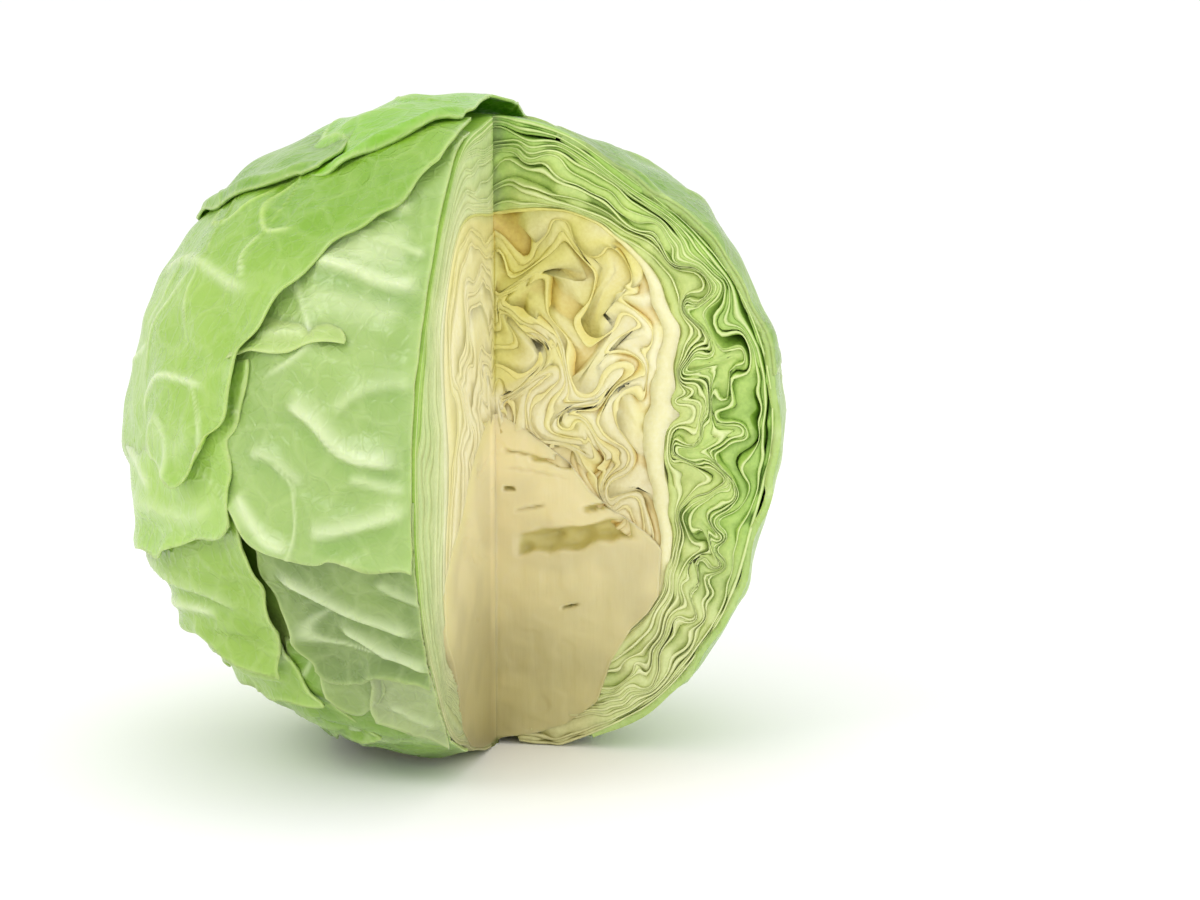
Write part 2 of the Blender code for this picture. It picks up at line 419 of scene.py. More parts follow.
def build_sheet(band, number, seed):
    """One folded leaf: points, faces, cut faces, depths behind the cut, and 1 in mid-thickness."""
    chance = np.random.default_rng(seed)
    middle_ray = heading_vector(np.array(0.0), np.array(30.0))
    inner, outer = sheet_shares(band, number, middle_ray)
    typical = float(inner + outer) / 2
    leaf = band["leaves"][number]
    # One more than a multiple of four, so that every column of COLUMN_STEPS ends on the last row.
    rows = 4 * int(np.clip(72 * typical, 42, 64)) + 1
    ends = last_polar(typical)
    base_recess = chance.uniform(0.2, 0.5) * MM
    points, depths, cores, numbers = [], [], [], {}
    count = 0

    def add_column(key, side, step, spacing, bias):
        """bias -1 is the inner face, 1 the outer face and 0 the middle of the cut edge."""
        nonlocal count
        end = ends[0] + (ends[1] - ends[0]) * turns_at(step * MM, SIDE * typical, side) / TURN
        polars = np.linspace(math.radians(0.6), end, rows)[::spacing]
        flat_point = np.stack((np.sin(polars), 0 * polars + side, np.cos(polars)), axis=-1) * typical
        ripple = noise(flat_point, RECESS_WAVES[side])
        ripple = ripple + 0.7 * noise(flat_point + 7.1 * number, RECESS_WAVES[2])
        recess = base_recess + leaf["recess"] * MM * smooth((ripple + 1.3) / 2.8) ** leaf["patchy"]
        recess = recess * SIDE_RECESS[side] + crevice(polars, typical, side)
        bulge = np.minimum(leaf["bulge"] * MM, recess - 0.05 * MM)
        recess = recess - (bulge if bias == 0 else 0)
        rays = sheet_rays(polars, typical, recess, side, step)
        buried = smooth(-outside_core(from_corner(rays, np.full(len(polars), typical))) / (2 * MM))
        recess = recess + 1.5 * MM * buried
        rays = sheet_rays(polars, typical, recess, side, step)
        faces = sheet_shares(band, number, rays)
        share = (faces[0] + faces[1]) / 2 + bias * (faces[1] - faces[0]) / 2
        points.append(from_corner(rays, share))
        depths.append(recess + step * MM)
        cores.append(np.full(len(polars), 1.0 if bias == 0 else 0.0))
        numbers[key] = count + np.arange(len(polars))
        count += len(polars)

    for bias in (-1, 1):
        for column, (step, side, spacing) in enumerate(COLUMNS):
            add_column((bias, column), side, step, spacing, bias)
    last = len(COLUMNS) - 1
    add_column((0, 0), 0, 0.0, 1, 0)
    add_column((0, last), 1, 0.0, 1, 0)

    faces, edge_faces = sheet_faces(numbers)
    points = swollen(folded(np.concatenate(points)))
    every = facing_out(points, faces + edge_faces)
    return points, every[:len(faces)], every[len(faces):], np.concatenate(depths), np.concatenate(cores)


# ------ what fills the head


def bump(rays, heading, height, width):
    """1 along a direction, falling off over a width in degrees."""
    aim = heading_vector(np.array(float(heading)), np.array(float(height)))
    angle = np.degrees(np.arccos(np.clip(rays @ aim, -1, 1)))
    return np.exp(-(angle / width) ** 2)


def near_right_cut(rays, fade):
    """1 at the right cut face, fading out over a few millimetres behind it: gaps close there."""
    depth = 0.55 * SIDE * np.abs(rays[..., 1])
    return smooth((rays[..., 0] + 0.05) / 0.2) * np.exp(-(depth / (fade * MM)) ** 2)


def leaf_layer(seed, plain, rib, gap, hole, recess, bulge, fade=4.0, patchy=1):
    """One leaf of a stack: its thickness and the gap inside it along rays from the corner.

    Its cut edge lies up to recess behind the cut face and is rounded by bulge, in millimetres.
    With a higher patchy, the deepest places are fewer. The gap closes within fade of the cut.
    """
    ribs = waves(seed, 10, 0.45, 1.3)
    holes = waves(seed + 500, 12, 0.3, 0.8)

    def thickness(rays):
        return plain + rib * smooth((noise(rays, ribs) - 0.1) / 1.4)

    def gap_inside(rays):
        return near_right_cut(rays, fade) * (gap + hole * smooth((noise(rays, holes) - 1.2) / 0.9))

    return {"thickness": thickness, "gap": gap_inside, "recess": recess, "bulge": bulge, "patchy": patchy}


def add_rib(leaf, heading, height, width, amount):
    """Makes the leaf thicker in one direction."""
    plain = leaf["thickness"]
    leaf["thickness"] = lambda rays: plain(rays) + amount * bump(rays, heading, height, width)


def add_pocket(leaf, height, width, amount):
    """Opens a pocket inside the leaf at the right cut face."""
    plain = leaf["gap"]

    def gap_with_pocket(rays):
        return plain(rays) + near_right_cut(rays, 5) * amount * bump(rays, 0, height, width)

    leaf["gap"] = gap_with_pocket


def outline_up(rays):
    """The cosine of the angle from the crown where rays from the corner meet the outer leaves."""
    return outline_share(from_corner(rays, np.full(rays.shape[:-1], 0.8)))[1]


def heart_band():
    """Thick soft folds, with a thin leaf between each two."""
    chance = np.random.default_rng(11)
    leaves = []
    for number in range(17):
        if number % 2:
            leaves.append(leaf_layer(100 + number, 0.34, 0.4, 0, 0, chance.uniform(0, 0.4), 0.15))
        else:
            recess = chance.uniform(1, 3)
            leaves.append(leaf_layer(100 + number, 1.2, 3.8, 0, 0.12, recess, 0.5, fade=2, patchy=2.5))
    for number, height in ((4, -30), (6, -45), (8, -62)):
        add_rib(leaves[number], 0, height, 16, 3.0)

    def limits(rays):
        return HEART_INNER, heart_share(outline_up(rays))

    return {"leaves": leaves, "limits": limits}


def head_band():
    """Thin pale leaf edges, with the green faces of the leaves set back between them."""
    chance = np.random.default_rng(12)
    leaves = [leaf_layer(199, 0.5, 0.4, 0, 0, 0.2, 0.15)]
    for height in (-25, 5, 35):
        add_rib(leaves[0], 0, height, 26, 2.9)
        add_rib(leaves[0], 270, height, 26, 2.0)
    for number in range(22):
        if number % 2:
            leaves.append(leaf_layer(200 + number, 0.42, 0.5, 0, 0.2, chance.uniform(0, 0.8), 0.15))
        else:
            leaves.append(leaf_layer(200 + number, 0.55, 2.8, 0.04, 0.8, chance.uniform(1.2, 4.2), 0.6))
    add_pocket(leaves[16], 25, 7, 3.0)
    add_pocket(leaves[18], 4, 6, 2.5)

    def limits(rays):
        right = smooth((rays[..., 0] + 0.1) / 0.4) * smooth((rays[..., 1] + 0.3) / 0.3)
        return heart_share(outline_up(rays)), HEAD_OUTER + 0.034 * right

    return {"leaves": leaves, "limits": limits}


# ------ materials


class Look:
    """A new material, with short ways to add nodes to it."""

    def __init__(self, name):
        self.material = bpy.data.materials.new(name)
        self.material.use_nodes = True
        self.nodes = self.material.node_tree.nodes
        self.shader = self.nodes["Principled BSDF"]
        self.place = self.nodes.new("ShaderNodeTexCoord").outputs["Object"]

    def feed(self, socket, value):
        """Gives a socket a number, a colour or what another node puts out."""
        if isinstance(value, bpy.types.NodeSocket):
            self.material.node_tree.links.new(value, socket)
        elif isinstance(value, tuple) and socket.type == "RGBA":
            socket.default_value = (*value, 1)
        else:
            socket.default_value = value

    def node(self, kind, **values):
        """A new node. A value is for the socket of its name, with _ for a space."""
        node = self.nodes.new("ShaderNode" + kind)
        for label, value in values.items():
            self.feed(node.inputs[label.replace("_", " ")], value)
        return node

    def tint(self):
        """The colour that the mesh has at each point."""
        node = self.node("Attribute")
        node.attribute_name = "tint"
        return node.outputs["Color"]

    def math(self, operation, first, second):
        node = self.node("Math")
        node.operation = operation
        self.feed(node.inputs[0], first)
        self.feed(node.inputs[1], second)
        return node.outputs[0]

    def mix(self, mode, share, first, second):
        """Two colours blended."""
        node = self.node("Mix")
        node.data_type = "RGBA"
        node.blend_type = mode
        for number, value in ((0, share), (6, first), (7, second)):
            self.feed(node.inputs[number], value)
        return node.outputs[2]

    def noise(self, scale, detail=4, place=None):
        node = self.node("TexNoise", Vector=self.place if place is None else place, Scale=scale)
        self.feed(node.inputs["Detail"], detail)
        self.feed(node.inputs["Roughness"], 0.55)
        return node.outputs["Fac"]

    def ramp(self, value, low, high):
        """0 to 1 as the value goes from low to high."""
        node = self.node("MapRange", Value=value, From_Min=low, From_Max=high)
        node.interpolation_type = "SMOOTHSTEP"
        return node.outputs["Result"]

    def veins(self, place, scale, width):
        """1 along a net of veins, 0 between them."""
        cells = self.node("TexVoronoi", Vector=place, Scale=scale)
        cells.feature = "DISTANCE_TO_EDGE"
        return self.math("SUBTRACT", 1.0, self.ramp(cells.outputs["Distance"], 0.0, width))

    def finish(self, colour, height, distance, strength, **values):
        """The colour, the bumps and the numbers of the shader. Gives back the material."""
        self.feed(self.shader.inputs["Base Color"], colour)
        for label, value in values.items():
            self.feed(self.shader.inputs[label.replace("_", " ")], value)
        bump_node = self.node("Bump", Distance=distance, Strength=strength, Height=height)
        self.feed(self.shader.inputs["Normal"], bump_node.outputs["Normal"])
        return self.material


def inner_leaf_material(name, edge):
    """Moist leaf inside the head. The cut edge is paler and a little rougher than the faces."""
    look = Look(name)
    patches = look.ramp(look.noise(90), 0.35, 0.7)
    fine = look.noise(900, detail=3)
    tint = look.tint()
    lighter = look.mix("SOFT_LIGHT", 0.5, tint, (0.85, 0.85, 0.75))
    colour = look.mix("MIX", patches, tint, lighter)
    if edge:
        colour = look.mix("MIX", 0.10, colour, (0.93, 0.93, 0.66))
    grain = look.mix("OVERLAY", 0.25, colour, fine)
    height = look.math("ADD", look.noise(260, detail=3), look.math("MULTIPLY", fine, 0.25))
    roughness = 0.42 if edge else 0.36
    return look.finish(
        grain, height, 0.6 * MM, 0.55, Roughness=roughness, Specular_IOR_Level=0.35, IOR=1.42,
    )


def core_material():
    """Firm cream core, with fine upright fibres and a dull moist gloss."""
    look = Look("core_flesh")
    mapping = look.node("Mapping", Vector=look.place, Scale=(1, 1, 0.12))
    fibres = look.noise(900, place=mapping.outputs["Vector"])
    colour = look.mix("OVERLAY", 0.04, look.tint(), fibres)
    colour = look.mix("SOFT_LIGHT", 0.15, colour, look.noise(70))
    return look.finish(
        colour, fibres, 0.2 * MM, 0.4, Roughness=0.45, Specular_IOR_Level=0.4,
        Subsurface_Weight=0.35, Subsurface_Scale=4 * MM, Subsurface_Radius=(1.0, 0.8, 0.4),
    )


def wrapper_material():
    """Waxy outer leaf: mottled green, with a net of paler raised veins."""
    look = Look("outer_leaf_skin")
    warp = look.node("TexNoise", Vector=look.place, Scale=45, Detail=2)
    bent = look.mix("LINEAR_LIGHT", 0.006, look.place, warp.outputs["Color"])
    mottle = look.ramp(look.noise(38, detail=5), 0.35, 0.68)
    tint = look.tint()
    lighter = look.mix("MIX", 0.12, tint, (0.60, 0.80, 0.20))
    colour = look.mix("MIX", mottle, tint, lighter)
    height = look.noise(130)
    for scale, paleness, raised in ((95, 0.08, 0.35), (240, 0.03, 0.25)):
        net = look.veins(bent, scale, 0.16)
        veined = look.mix("MIX", paleness, colour, (0.76, 0.88, 0.45))
        colour = look.mix("MIX", net, colour, veined)
        height = look.math("ADD", height, look.math("MULTIPLY", net, raised))
    gloss = look.math("ADD", look.math("MULTIPLY", mottle, 0.10), 0.26)
    return look.finish(
        colour, height, 0.7 * MM, 0.7, Roughness=gloss, Specular_IOR_Level=0.42,
        Subsurface_Weight=0.25, Subsurface_Scale=3 * MM, Subsurface_Radius=(0.8, 1.0, 0.3),
        Coat_Weight=0.12, Coat_Roughness=0.2,
    )


# ------ building the inside

# Linear red, green and blue.
CREAM = (0.76, 0.67, 0.39)
RIB_CREAM = (0.82, 0.77, 0.44)
RIB_TOP_YELLOW = (0.70, 0.64, 0.17)
OUTER_GREEN = (0.32, 0.53, 0.08)
MIDDLE_GREEN = (0.52, 0.67, 0.20)
INNER_GREEN = (0.61, 0.68, 0.26)
LEAF_BASE = (0.76, 0.76, 0.42)
THIN_EDGE = (0.76, 0.83, 0.42)
LEFT_OUTER_GREEN = (0.50, 0.62, 0.26)
LEFT_INNER_GREEN = (0.66, 0.72, 0.38)
FOOT_BROWN = (0.50, 0.45, 0.20)
HEART_CREAM = (0.78, 0.70, 0.42)
HEART_YELLOW = (0.74, 0.66, 0.20)
HEART_THIN_LEAF = (0.84, 0.74, 0.26)
HEART_EDGE = (0.84, 0.78, 0.50)
HEART_LEFT_OUTER = (0.80, 0.73, 0.32)
HEART_LEFT_INNER = (0.88, 0.80, 0.50)
CORE_DULL = (0.50, 0.44, 0.20)
CORE_LEFT_RIM = (0.80, 0.73, 0.34)
CORE_STUMP = (0.16, 0.18, 0.04)
RIDGE_PALE_AND_HIGHLIGHT = (0.72, 0.82, 0.50)
FOOT_PALE = (0.62, 0.66, 0.32)
BORDER_PALE = (0.62, 0.74, 0.32)

HEART_CLOUDS = waves(71, 12, 9 * MM, 30 * MM)
HEART_NODES = [name for name in sorted(frame["nodes"]) if name.startswith("heart_leaf")] + ["heart_bud"]
HEAD_NODES = [name for name in sorted(frame["nodes"]) if name.startswith("head_leaf")]


def near_left_cut(points):
    """1 on the left cut face, 0 a few millimetres behind it."""
    return smooth(1 - (CUT_X - points[:, 0]) / (5 * MM)) * smooth(-points[:, 1] / (5 * MM))


def low_shade(points):
    """Duller towards the stem on the left cut face, a painted shade, and darker brown still in its lowest
    part, as a factor for each colour.
    """
    low = smooth((0.42 - points[:, 2] / HEIGHT) / 0.34) * near_left_cut(points)
    lowest = smooth((0.10 - points[:, 2] / HEIGHT) / 0.08) * near_left_cut(points)
    return mix(mix((1, 1, 1), (0.64, 0.62, 0.58), low), (0.34, 0.30, 0.20), 0.8 * lowest)


def head_tint(points, depths, cores, level, thin):
    """Green outside to pale yellow-green inside; whiter at the leaf bases; greener and darker in the gaps,
    partly the leaves' own faces and partly painted shade.

    Level goes from 0 at the outermost leaf to 1 at the innermost, whose thick rib is cream.
    """
    up = outline_share(points)[1]
    on_left = near_left_cut(points)
    if level > 0.99:
        face = mix(RIB_CREAM, RIB_TOP_YELLOW, smooth((up - 0.62) / 0.3)) * low_shade(points)
        face = toned(face, (0.86, 0.93, 0.95), on_left)
        # Darker and yellower deeper behind the cut: painted shade.
        return toned(face, (0.82, 0.77, 0.5), smooth((depths - 0.6 * MM) / (6 * MM)))
    face = mix(OUTER_GREEN, MIDDLE_GREEN, smooth(level / 0.5))
    face = mix(face, INNER_GREEN, smooth((level - 0.45) / 0.55))
    face = mix(face, LEAF_BASE, 0.8 * smooth((-up - 0.20) / 0.5))
    face = mix(face, THIN_EDGE, 0.75 * cores) if thin else face * np.array((0.84, 0.90, 0.72))
    left_face = mix(LEFT_OUTER_GREEN, LEFT_INNER_GREEN, smooth((level - 0.3) / 0.6))
    face = mix(face, left_face, 0.8 * on_left * smooth((level - 0.05) / 0.15))
    base = smooth((0.085 - points[:, 2] / HEIGHT) / 0.04) * smooth((50 * MM - points[:, 0]) / (14 * MM))
    face = mix(face, FOOT_BROWN, 0.8 * base * (points[:, 1] > -5 * MM))
    face = face * low_shade(points)
    # Behind the cut the faces turn greener and darker with depth, partly the leaves' own green faces and
    # partly painted shade; past about 4.6 mm they darken further, a painted shadow.
    deep = toned(face * np.array((0.60, 0.78, 0.32)), (0.45,) * 3, smooth((depths - 4.6 * MM) / (1.5 * MM)))
    return mix(face, deep, 0.9 * smooth((depths - 0.6 * MM) / (6 * MM)))


def heart_tint(points, depths, cores, level, thin):
    """Yellow leaves round a cream middle, yellower at the top, with a painted shade at the crown and a
    painted amber shade in the gaps.
    """
    up = outline_share(points)[1]
    yellow = smooth(0.06 + 0.26 * noise(points, HEART_CLOUDS) + 0.85 * smooth((up - 0.45) / 0.4))
    rim = smooth((0.75 - level) / 0.4) * smooth((0.8 - up) / 0.3)
    face = mix(HEART_CREAM, HEART_YELLOW, yellow)
    if thin:
        face = mix(face, HEART_THIN_LEAF, 0.55)
    else:
        face = mix(face, HEART_EDGE, 0.5 * cores * (1 - yellow))
    # Painted shade at the top of the heart.
    face = toned(face, (0.86, 0.88, 0.74), smooth((up - 0.72) / 0.2))
    face = toned(face, (1.08, 1.10, 1.10), rim * smooth((up + 0.1) / 0.3))
    face = toned(face, (0.93, 0.91, 0.86), smooth((0.15 - up) / 0.3))
    left_face = mix(HEART_LEFT_OUTER, HEART_LEFT_INNER, smooth(level / 0.4))
    face = mix(face, left_face, 0.7 * near_left_cut(points)) * low_shade(points)
    face = mix(face, CREAM, 0.8 * smooth(1 - outside_core(points) / (7 * MM)))
    # Amber and darker deeper behind the cut: a painted shade in the gaps.
    return toned(face, (0.92, 0.70, 0.36), 0.9 * smooth((depths - 0.9 * MM) / (2.4 * MM)))


def joined(parts):
    """Several leaves, each of points, faces, edge faces and tints, as one mesh."""
    points, faces, edge_faces, tints, first = [], [], [], [], 0
    for part in parts:
        points.append(part[0])
        faces += [[corner + first for corner in face] for face in part[1]]
        edge_faces += [[corner + first for corner in face] for face in part[2]]
        tints.append(part[3])
        first += len(part[0])
    return np.concatenate(points), faces, edge_faces, np.concatenate(tints)


def build_band(band, names, seed, tint, materials):
    """One piece for each CAD leaf, from the outside in, each of one or more folded sheets."""
    count = len(band["leaves"])
    shares = np.array_split(np.arange(count)[::-1], len(names))
    for name, numbers in zip(names, shares):
        parts = []
        for number in numbers:
            points, faces, edges, depths, cores = build_sheet(band, number, seed + int(number))
            thin = band["leaves"][number]["bulge"] < 0.2
            tints = tint(points, depths, cores, 1 - number / (count - 1), thin)
            parts.append((points, faces, edges, tints))
        points, faces, edge_faces, tints = joined(parts)
        kinds = [0] * len(faces) + [1] * len(edge_faces)
        new_piece(name, points, faces + edge_faces, tints, materials, kinds)


# ------ the core

# Hollows in its cut faces, in millimetres: (distance from the corner, height, length, width, depth).
HOLLOWS = (
    (4, 76, 3.2, 1.0, 2.6), (10, 70.5, 8.0, 0.9, 1.2), (22, 42, 4.0, 0.8, 2.6),
    (13, 61, 12, 5.6, 3.2), (28, 63.5, 22, 6.0, 4.6), (32, 72, 12, 1.6, 2.4),
    (7, 86.5, 9.0, 0.9, 1.4), (15, 84.5, 9.0, 1.4, 2.2), (20, 84.5, 4.6, 3.2, 4.0), (12, 81, 16, 0.7, 0.8),
)


def core_tint(points, inset):
    """Cream, duller and darker towards the stem, with painted shade low on the left cut; yellow strips and
    a painted highlight strip by the corner on the left; olive hollows, partly painted shade.
    """
    height = points[:, 2] / HEIGHT
    on_left = near_left_cut(points)
    cloud = smooth(0.4 + 0.5 * noise(points, waves(91, 12, 10 * MM, 40 * MM)))
    face = mix(CORE_DULL, CREAM, smooth((height - 0.02) / 0.42))
    face = toned(face, (1.12,) * 3, cloud) * (0.35 + 0.65 * low_shade(points))
    rim = smooth(1 + outside_core(points) / (14 * MM)) * smooth((height - 0.15) / 0.15)
    face = mix(face, CORE_LEFT_RIM, 0.7 * rim * on_left)
    past_corner = CUT_X - points[:, 0] - points[:, 1] + 0.5 * MM
    lit = smooth(past_corner / (0.6 * MM)) * (1 - smooth((past_corner - 5 * MM) / (4 * MM)))
    face = toned(face, (1.16, 1.16, 1.22), lit * on_left)
    face = mix(face, CORE_STUMP, smooth((0.014 - height) / 0.010))
    # Olive deeper in the hollows: partly the yellow-olive leaf inside them, partly painted shade.
    return toned(face, (0.84, 0.84, 0.56), smooth((inset - 0.6 * MM) / (1.5 * MM)))


def core_inset(points, arm, on_left):
    """How far the core's cut faces stand back: a faint relief, upright fibres and the hollows."""
    relief = noise(points, waves(92, 16, 5 * MM, 22 * MM))
    fibres = noise(points * np.array((1, 1, 0.12)), waves(93, 14, 1.6 * MM, 5 * MM))
    ragged = noise(points, waves(94, 14, 4 * MM, 12 * MM))
    inset = 0.25 * MM * smooth(0.5 + 0.5 * relief) + 0.02 * MM * (1 + fibres / 2)
    inset = inset * np.where(on_left, 0.1, 1)
    for out, height, long, tall, deep in HOLLOWS:
        slope = 0.22 if height < 75 else -0.15  # low ones rise away from the corner, high ones sink
        aside = (arm - out * MM) / (long * MM / 2)
        up = (points[..., 2] - (height + slope * (arm / MM - out)) * MM) / (tall * MM / 2) + 0.13 * ragged
        hollow = deep * MM * np.exp(-(aside ** 6 + up ** 6)) * (1 + 0.22 * ragged)
        inset = inset + hollow * np.where(on_left, 0.15, 1)
    return inset


def build_core(material):
    """The core with the leaf bases grown onto it, cut flat by the knife on its two cut faces."""
    rows, across, around = 190, 54, 60
    top = CORE_OUTLINE[-1][0] * MM
    levels = np.linspace(0, 1, rows) ** 1.15 * top
    radii = np.maximum(core_radius(levels), CUT_X + 0.4 * MM)
    turns = np.radians(np.concatenate((
        np.zeros(across), np.linspace(0, TURN, around), np.full(across, TURN),
    )))
    shares = np.concatenate((
        np.linspace(0, 1, across + 1)[:-1], np.ones(around), np.linspace(1, 0, across + 1)[1:],
    ))
    sideways = CUT_X * np.sin(turns)
    rim = -CUT_X * np.cos(turns) + np.sqrt(np.maximum(radii[:, None] ** 2 - sideways ** 2, 0))
    arm = shares * rim
    points = np.stack((
        CUT_X + arm * np.cos(turns),
        arm * np.sin(turns),
        np.broadcast_to(levels[:, None], arm.shape),
    ), axis=-1)
    count = len(turns)
    on_right = np.arange(count) < across
    on_left = np.arange(count) >= count - across
    inset = core_inset(points, arm, on_left)
    points[..., 1] += np.where(on_right, inset, 0)
    points[..., 0] -= np.where(on_left, inset, 0)
    corner = 0.2 * MM
    points[:, 0] += (-corner, corner, 0)
    points[:, -1] += (-corner, corner, 0)
    numbers = np.arange(rows * count).reshape(rows, count)
    faces = []
    for row in range(rows - 1):
        faces += strip(numbers[row], numbers[row + 1])
        faces.append([numbers[row, -1], numbers[row, 0], numbers[row + 1, 0], numbers[row + 1, -1]])
    faces.append(numbers[0].tolist())
    faces.append(numbers[-1][::-1].tolist())
    flat = points.reshape(-1, 3)
    tints = core_tint(flat, np.where(on_right | on_left, inset, 0).ravel())
    new_piece("stem_core", flat, facing_out(flat, faces), tints, [material])


# ------ the wrapper leaves

# Headings and heights are read from a point this far above the head's centre, as a share of SIDE.
LOOKOUT = np.array((0, 0, 0.039))

# Shallow dents all over, and the wandering of the borders sideways.
DENTS = waves(42, 16, 12 * MM, 26 * MM)
BORDER_DRIFT = [waves(44 + number, 10, 9 * MM, 28 * MM) for number in range(3)]
CUT_OVERLAP = 0.4


def through(points, count):
    """A smooth open curve through a few points, read at even steps along its chords."""
    points = np.asarray(points, dtype=float)
    chords = np.concatenate(([0], np.cumsum(np.linalg.norm(np.diff(points, axis=0), axis=1))))
    slopes = np.gradient(points, chords, axis=0)
    at = np.linspace(0, chords[-1], count)
    here = np.clip(np.searchsorted(chords, at, side="right") - 1, 0, len(points) - 2)
    gap = (chords[here + 1] - chords[here])[:, None]
    t = ((at - chords[here])[:, None]) / gap
    return (
        points[here] * (1 + 2 * t) * (1 - t) ** 2 + slopes[here] * gap * t * (1 - t) ** 2
        + points[here + 1] * t * t * (3 - 2 * t) + slopes[here + 1] * gap * t * t * (t - 1)
    )


def flat_frame(centre):
    """The direction of a leaf's middle, and the directions to its right and up from there."""
    middle = heading_vector(np.array(float(centre[0])), np.array(float(centre[1])))
    right = unit(np.cross((0, 0, 1.0), middle))
    return middle, right, np.cross(middle, right)


def to_flat(rays, leaf_frame):
    """Directions as places on a flat map round the leaf's middle, in radians."""
    middle, right, above = leaf_frame
    angle = np.arccos(np.clip(rays @ middle, -1, 1))
    sideways, up = rays @ right, rays @ above
    length = np.maximum(np.hypot(sideways, up), 1e-9)
    return np.stack((sideways, up), axis=-1) * (angle / length)[..., None]


def from_flat(places, leaf_frame):
    middle, right, above = leaf_frame
    angle = np.maximum(np.linalg.norm(places, axis=-1), 1e-9)[..., None]
    aside = (places[..., :1] * right + places[..., 1:] * above) / angle
    return middle * np.cos(angle) + aside * np.sin(angle)


def directions(path):
    """The headings and heights of a path, taken from a point a little above the head's centre."""
    path = np.asarray(path, dtype=float)
    return unit(heading_vector(path[:, 0], path[:, 1]) + LOOKOUT)


def patch(leaf, across, along):
    """Directions over a leaf, laid smoothly between its four borders."""
    leaf_frame = flat_frame(leaf["middle"])
    low, high, left, right = (
        through(to_flat(directions(leaf[side]), leaf_frame), count)
        for side, count in (("bottom", across), ("top", across), ("left", along), ("right", along))
    )
    a = np.linspace(0, 1, across)[None, :, None]
    b = np.linspace(0, 1, along)[:, None, None]
    places = (
        low[None] * (1 - b) + high[None] * b + left[:, None] * (1 - a) + right[:, None] * a
        - low[0] * (1 - a) * (1 - b) - low[-1] * a * (1 - b) - high[0] * (1 - a) * b - high[-1] * a * b
    )
    return from_flat(places, leaf_frame)


def ridge(rays, path, lift, upper, lower):
    """A raised line: its height at each ray, and 1 in the band along its lower side, where a painted shadow
    goes.
    """
    count, taper = 70, 0.18
    line = unit(through(directions(path), count))
    nearest = (rays @ line.T).argmax(axis=-1)
    ends = smooth(np.minimum(nearest, count - 1 - nearest) / (count - 1) / taper)
    tangent = np.gradient(line, axis=0)[nearest]
    away = rays - line[nearest]
    distance = np.linalg.norm(away, axis=-1) * SIDE
    above = np.einsum("...i,...i", np.cross(line[nearest], tangent), away) > 0
    width = np.where(above, upper, lower) * MM
    beyond = (distance - 2.2 * lower * MM) / (1.5 * lower * MM)
    return lift * MM * np.exp(-(distance / width) ** 2) * ends, np.exp(-beyond ** 2) * ends * ~above


def border_distances(rays):
    """How far each point of a leaf is from each of its borders."""
    borders = {"bottom": rays[:1], "top": rays[-1:], "left": rays[:, :1], "right": rays[:, -1:]}
    return {side: np.linalg.norm(rays - border, axis=-1) * SIDE for side, border in borders.items()}


def from_quarter(points):
    """Distance from the missing quarter, 0 inside it."""
    return np.hypot(np.maximum(CUT_X - points[..., 0], 0), np.maximum(points[..., 1], 0))


def behind_cuts(points, recess):
    """Points moved back behind the cut faces where they stand in the missing quarter."""
    inside = (points[..., 0] > CUT_X - recess) & (points[..., 1] < recess)
    nearer_left = points[..., 0] - CUT_X < -points[..., 1]
    points[..., 0] = np.where(inside & nearer_left, CUT_X - recess, points[..., 0])
    points[..., 1] = np.where(inside & ~nearer_left, recess, points[..., 1])
    return points


def edge_lift(leaf, rays):
    """How far a leaf's borders stand off the head, positive, or are tucked in, negative."""
    wave = 1 + 0.30 * noise(rays * SIDE, waves(leaf["seed"], 10, 11 * MM, 30 * MM))
    rows, columns = rays.shape[:2]
    distances = border_distances(rays)
    raised, tucked = np.zeros((rows, columns)), np.zeros((rows, columns))
    for side, (first, *last, width) in leaf["edges"].items():
        flat = side in ("bottom", "top")
        along = np.linspace(0, 1, columns)[None, :] if flat else np.linspace(0, 1, rows)[:, None]
        calm = leaf.get("bottom_calm", 0) if side == "bottom" else 0
        last = last[0] if last else first
        amount = first + (last - first) * smooth((along - calm) / (1 - calm))
        near = np.exp(-(distances[side] / (width * MM)) ** 1.5)
        raised = np.maximum(raised, amount * wave * near)
        tucked = np.minimum(tucked, amount * near)
    return (raised + tucked) * MM


def leaf_relief(leaf, rays):
    """How far a leaf rises over its layer, how pale its veins and ridges are, the ridges partly with a
    painted highlight, and where a painted shadow lies under high ridges.
    """
    on_sphere = rays * SIDE
    height = SWELL_HEIGHT * noise(on_sphere, SWELL) + 0.42 * MM * noise(on_sphere, DENTS)
    height = height + edge_lift(leaf, rays)
    lines = noise(on_sphere, waves(leaf["seed"] + 20, 9, 30 * MM, 70 * MM))
    patches = noise(on_sphere, waves(leaf["seed"] + 30, 8, 40 * MM, 90 * MM))
    vein = np.exp(-(lines / leaf.get("vein", 0.10)) ** 2) * smooth(0.5 + 0.6 * patches)
    height = height + 0.5 * MM * vein
    pale, dark = 0.65 * vein, 0 * vein
    for path, lift, upper, *lower, paleness in leaf["ridges"]:
        lower = lower[0] if lower else upper
        raised, under = ridge(rays, path, lift, upper, lower)
        height = height + raised
        # Ridges turn pale: partly a paler vein colour, partly a painted highlight.
        pale = np.maximum(pale, paleness * (np.abs(raised) / (abs(lift) * MM)) ** 1.6)
        # Under high ridges with a wide upper side, a painted shadow.
        if lift > 1.1 and upper > lower:
            dark = np.maximum(dark, 0.6 * paleness * under)
    return height, pale, dark


